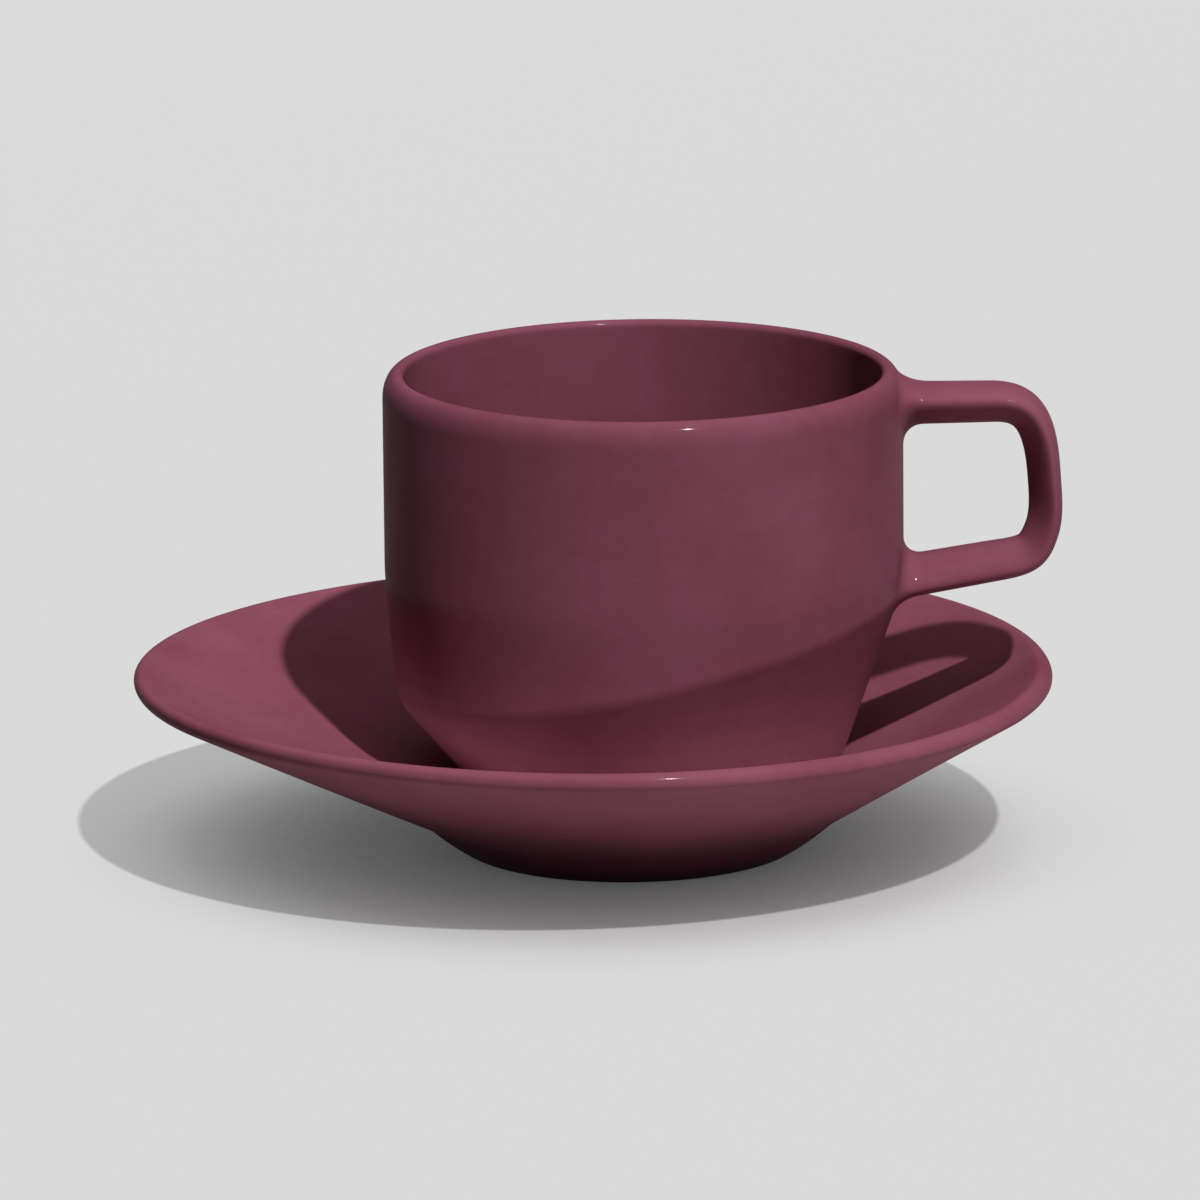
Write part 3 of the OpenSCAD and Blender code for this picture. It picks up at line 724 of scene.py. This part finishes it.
def glazed_material(name, tones, pinholes, axis_x=0, turned=0.45, foot_line=None, bounces=False):
    """Material of one glazed piece. The tones are its deep and its pale colour, axis_x places the
    axis of its rings, in metres, and turned is their strength. With a foot line, in metres, the
    face below it is bare. If it bounces, diffuse rays from close by meet its upper face pale."""
    material = bpy.data.materials.new(name)
    material.use_nodes = True
    n, l = material.node_tree.nodes, material.node_tree.links
    shader = n["Principled BSDF"]
    for socket, value in (("IOR", BASE_IOR), ("Specular IOR Level", BASE_GLOSS),
                          ("Coat Weight", COAT_SHARE), ("Coat Roughness", COAT_ROUGH),
                          ("Coat IOR", COAT_IOR)):
        shader.inputs[socket].default_value = value
    glaze = put(n, "ShaderNodeGroup", node_tree=glaze_group)
    for socket, value in (("Deep", tones[0]), ("Pale", tones[1]), ("Pinholes", pinholes),
                          ("Centre", (axis_x, 0, 0)), ("Turned", turned)):
        glaze.inputs[socket].default_value = value
    finish = glaze
    if foot_line is not None:
        finish = put(n, "ShaderNodeGroup", node_tree=bare_group)
        for socket in ("Color", "Roughness", "Height"):
            l.new(glaze.outputs[socket], finish.inputs[socket])
        finish.inputs["Line"].default_value = foot_line
        coat = figure(n, l, "MULTIPLY", finish.outputs["Glazed"], COAT_SHARE)
        l.new(coat, shader.inputs["Coat Weight"])
    bump = put(n, "ShaderNodeBump", Strength=BUMP_STRENGTH, Distance=BUMP_HEIGHT)
    if bounces:
        ray = n.new("ShaderNodeLightPath").outputs
        close = put(n, "ShaderNodeMapRange", From_Min=CLOSE_FROM, From_Max=CLOSE_TO,
                    To_Min=1.0, To_Max=0.0)
        l.new(ray["Ray Length"], close.inputs["Value"])
        faces = n.new("ShaderNodeSeparateXYZ")
        l.new(n.new("ShaderNodeNewGeometry").outputs["Normal"], faces.inputs[0])
        upward = figure(n, l, "GREATER_THAN", faces.outputs["Z"], UPWARD_FROM)
        share = figure(n, l, "MULTIPLY", ray["Is Diffuse Ray"], upward)
        share = figure(n, l, "MULTIPLY", share, close.outputs[0])
        l.new(blend(n, l, share, finish.outputs["Color"], BOUNCED), shader.inputs["Base Color"])
    else:
        l.new(finish.outputs["Color"], shader.inputs["Base Color"])
    l.new(finish.outputs["Roughness"], shader.inputs["Roughness"])
    l.new(finish.outputs["Height"], bump.inputs["Height"])
    l.new(bump.outputs[0], shader.inputs["Normal"])
    return material


finishes = {
    saucer: glazed_material("plum_glaze_saucer", SAUCER_GLAZE, pinholes=0.16, bounces=True),
    saucer_foot: glazed_material("plum_glaze_saucer_foot", SAUCER_GLAZE, pinholes=0.1, foot_line=0.0),
    cup: glazed_material("plum_glaze_cup", CUP_SHADED_GLAZE, pinholes=0.16, axis_x=CUP_X * MM),
    cup_foot: glazed_material("plum_glaze_cup_foot", CUP_SHADED_GLAZE, pinholes=0.1, axis_x=CUP_X * MM,
                              foot_line=WELL_H * MM),
    handle: glazed_material("plum_glaze_handle", SAUCER_GLAZE, pinholes=0.12, turned=0.0)}
for piece, material in finishes.items():
    piece.data.materials.append(material)
    print(piece.name, "wears", material.name)

# %% [markdown]
# ## The table
# The set stands on smooth pale paper that runs past the edges of the picture. Part of what the
# camera sees of it is a painted glow, light that stands in for the room's, dimmed where the set
# hides the room from the paper. So it paints the shadow grey and open, and paints a soft shade that
# closes under the foot. The lamp's light grows weaker with the distance, so the paper's grey rises
# with it, and all of the lit sheet looks alike. For the light that the glaze gathers, the paper
# wears a painted pool of light instead: pale round a lit spot in front of the set, and dark beyond
# a hand's breadth from it.

# %% The place of the lamp and the greys of the paper
KEY_PLACE = Vector((0.325, -0.66, 1.0)) * 2.5
PAPER_GREY, GRAIN_DEPTH, GREY_POWER, FARTHEST = 0.338, 0.012, 2.1, 1.35
# A painted pool of light on the paper for diffuse rays: pale within LIT_WITHIN of LIT_SPOT, dark beyond
# DARK_BEYOND.
LIT_SPOT = (0.055, -0.05, 0)
LIT_WITHIN, DARK_BEYOND, LIT_GREY, DARK_GREY = 0.10, 0.18, 0.69, 0.04
# A painted glow on the paper: light that stands in for the room's, dimmed by the openness into painted
# shade under the set.
PAINTED_GLOW_LEAST, PAINTED_GLOW_RISE, PAINTED_GLOW_MOST, PAINTED_GLOW_REACH = 0.02, 0.58, 0.345, 0.25
print("lamp", round(KEY_PLACE.length, 2), "m from the set, grey of the paper", PAPER_GREY)


# %% Lay the paper
def stage_sheet(name, half):
    """A square sheet on the table, as wide as twice the given half width in metres."""
    mesh = bpy.data.meshes.new(name)
    corners = [(-half, -half, 0), (half, -half, 0), (half, half, 0), (-half, half, 0)]
    mesh.from_pydata(corners, [], [(0, 1, 2, 3)])
    made = bpy.data.objects.new(name, mesh)
    bpy.context.scene.collection.objects.link(made)
    return made


def paper_material():
    """For the camera, in reflections and through glass: a grey that the lamp lights, and that
    rises with a power of the distance from the lamp, at most FARTHEST times as far as the set,
    plus a painted glow that grows with the openness, the share of the room that a point sees, up to
    a limit, and so paints the soft shade under the set. For diffuse rays there is no glow, and the
    grey is a painted pool of light that falls off with the distance from the lit spot."""
    material = bpy.data.materials.new("pale_paper")
    material.use_nodes = True
    n, l = material.node_tree.nodes, material.node_tree.links
    place = n.new("ShaderNodeTexCoord").outputs["Object"]
    ray = n.new("ShaderNodeLightPath").outputs
    seen = figure(n, l, "MAXIMUM", ray["Is Camera Ray"], ray["Is Glossy Ray"])
    seen = figure(n, l, "MAXIMUM", seen, ray["Is Transmission Ray"])
    # Painted pool of light: the grey that diffuse rays meet, pale near the lit spot and dark farther off.
    away = put(n, "ShaderNodeVectorMath", operation="DISTANCE")
    away.inputs[1].default_value = LIT_SPOT
    l.new(place, away.inputs[0])
    painted_pool = put(n, "ShaderNodeMapRange", From_Min=LIT_WITHIN, From_Max=DARK_BEYOND,
                   To_Min=LIT_GREY, To_Max=DARK_GREY)
    l.new(away.outputs["Value"], painted_pool.inputs["Value"])
    fibre = put(n, "ShaderNodeTexNoise", Scale=700.0, Detail=4.0)
    l.new(place, fibre.inputs["Vector"])
    lowest = PAPER_GREY - GRAIN_DEPTH / 2
    grain = figure(n, l, "MULTIPLY_ADD", fibre.outputs["Fac"], GRAIN_DEPTH, lowest)
    to_lamp = put(n, "ShaderNodeVectorMath", operation="DISTANCE")
    to_lamp.inputs[1].default_value = KEY_PLACE
    l.new(place, to_lamp.inputs[0])
    farther = figure(n, l, "DIVIDE", to_lamp.outputs["Value"], KEY_PLACE.length)
    farther = figure(n, l, "MINIMUM", farther, FARTHEST)
    grain = figure(n, l, "MULTIPLY", grain, figure(n, l, "POWER", farther, GREY_POWER))
    grey = figure(n, l, "SUBTRACT", grain, painted_pool.outputs[0])
    grey = figure(n, l, "MULTIPLY_ADD", grey, seen, painted_pool.outputs[0])
    # Painted glow: the openness sets how much of it there is, so it paints the soft shade under the set.
    openness = put(n, "ShaderNodeAmbientOcclusion", samples=8, Distance=PAINTED_GLOW_REACH)
    painted_glow = figure(n, l, "MULTIPLY_ADD", openness.outputs["AO"], PAINTED_GLOW_RISE, PAINTED_GLOW_LEAST)
    painted_glow = figure(n, l, "MULTIPLY", figure(n, l, "MINIMUM", painted_glow, PAINTED_GLOW_MOST), seen)
    shader = n["Principled BSDF"]
    shader.inputs["Roughness"].default_value = 0.95
    shader.inputs["Specular IOR Level"].default_value = 0.0
    shader.inputs["Emission Strength"].default_value = 1.0
    l.new(grey, shader.inputs["Base Color"])
    l.new(painted_glow, shader.inputs["Emission Color"])
    return material


floor = stage_sheet("floor", 3.0)
floor.data.materials.append(paper_material())
print("floor wears", floor.data.materials[0].name)

# %% [markdown]
# ## The light
# One small disk lamp stands high at the front right. It draws the crisp oval shadow of the
# saucer on the paper and the shadow of the handle's loop on the saucer. Its power is the light
# that is wanted on the set, times pi and the square of its distance. The rest is dim light that a
# power of the height gathers overhead, as from a pale ceiling, which is why the shadows stay open
# and the sides are dark. Past the end of the paper, the camera sees a pale grey.

# %% Hang the lamp and the sky
scene = bpy.context.scene
scene.view_settings.view_transform = "Standard"
KEY_LIGHT = 2.9
KEY_ACROSS = 0.09
ZENITH, HORIZON, GATHER = 1.5, 0.01, 8.0
BEYOND = 0.64
lamp = bpy.data.lights.new("key", "AREA")
lamp.shape = "DISK"
lamp.size = KEY_ACROSS
lamp.energy = KEY_LIGHT * math.pi * KEY_PLACE.length_squared
lamp_object = bpy.data.objects.new("key", lamp)
lamp_object.location = KEY_PLACE
lamp_object.rotation_mode = "QUATERNION"
lamp_object.rotation_quaternion = KEY_PLACE.to_track_quat("Z", "Y")
scene.collection.objects.link(lamp_object)
sky = bpy.data.worlds.new("studio")
sky.use_nodes = True
n, l = sky.node_tree.nodes, sky.node_tree.links
way = n.new("ShaderNodeSeparateXYZ")
l.new(n.new("ShaderNodeTexCoord").outputs["Generated"], way.inputs[0])
rise = figure(n, l, "MAXIMUM", way.outputs["Z"], 0.0)
bright = figure(n, l, "MULTIPLY_ADD", figure(n, l, "POWER", rise, GATHER), ZENITH, HORIZON)
ray = n.new("ShaderNodeLightPath").outputs
seen = figure(n, l, "MAXIMUM", ray["Is Camera Ray"], ray["Is Transmission Ray"])
l.new(blend(n, l, seen, bright, (BEYOND, BEYOND, BEYOND, 1)), n["Background"].inputs["Color"])
scene.world = sky
print("key", round(lamp.energy), "W,", "sky from", HORIZON, "to", ZENITH)

# %% [markdown]
# ## The camera
# The picture was taken from two metres away with a long lens, a little above the rim. Its angle,
# scale and slight roll were worked out from the ovals of the rims and the shadow's oval.

# %% Set up the camera
ELEVATION, ROLL = math.radians(13.161), math.radians(-0.534)
DISTANCE, PIXELS_PER_MM, PICTURE = 2.0, 6.0456, 1200
target = Vector((-4.551, 0, 41.097)) * MM
back = Vector((0, -math.cos(ELEVATION), math.sin(ELEVATION)))
camera_data = bpy.data.cameras.new("camera")
camera_data.sensor_width = 36
camera_data.lens = camera_data.sensor_width * PIXELS_PER_MM * DISTANCE / MM / PICTURE
camera_data.clip_start, camera_data.clip_end = 0.05, 50
camera = bpy.data.objects.new("camera", camera_data)
camera.location = target + back * DISTANCE
camera.rotation_mode = "QUATERNION"
camera.rotation_quaternion = Quaternion(back, ROLL) @ back.to_track_quat("Z", "Y")
scene.collection.objects.link(camera)
scene.camera = camera
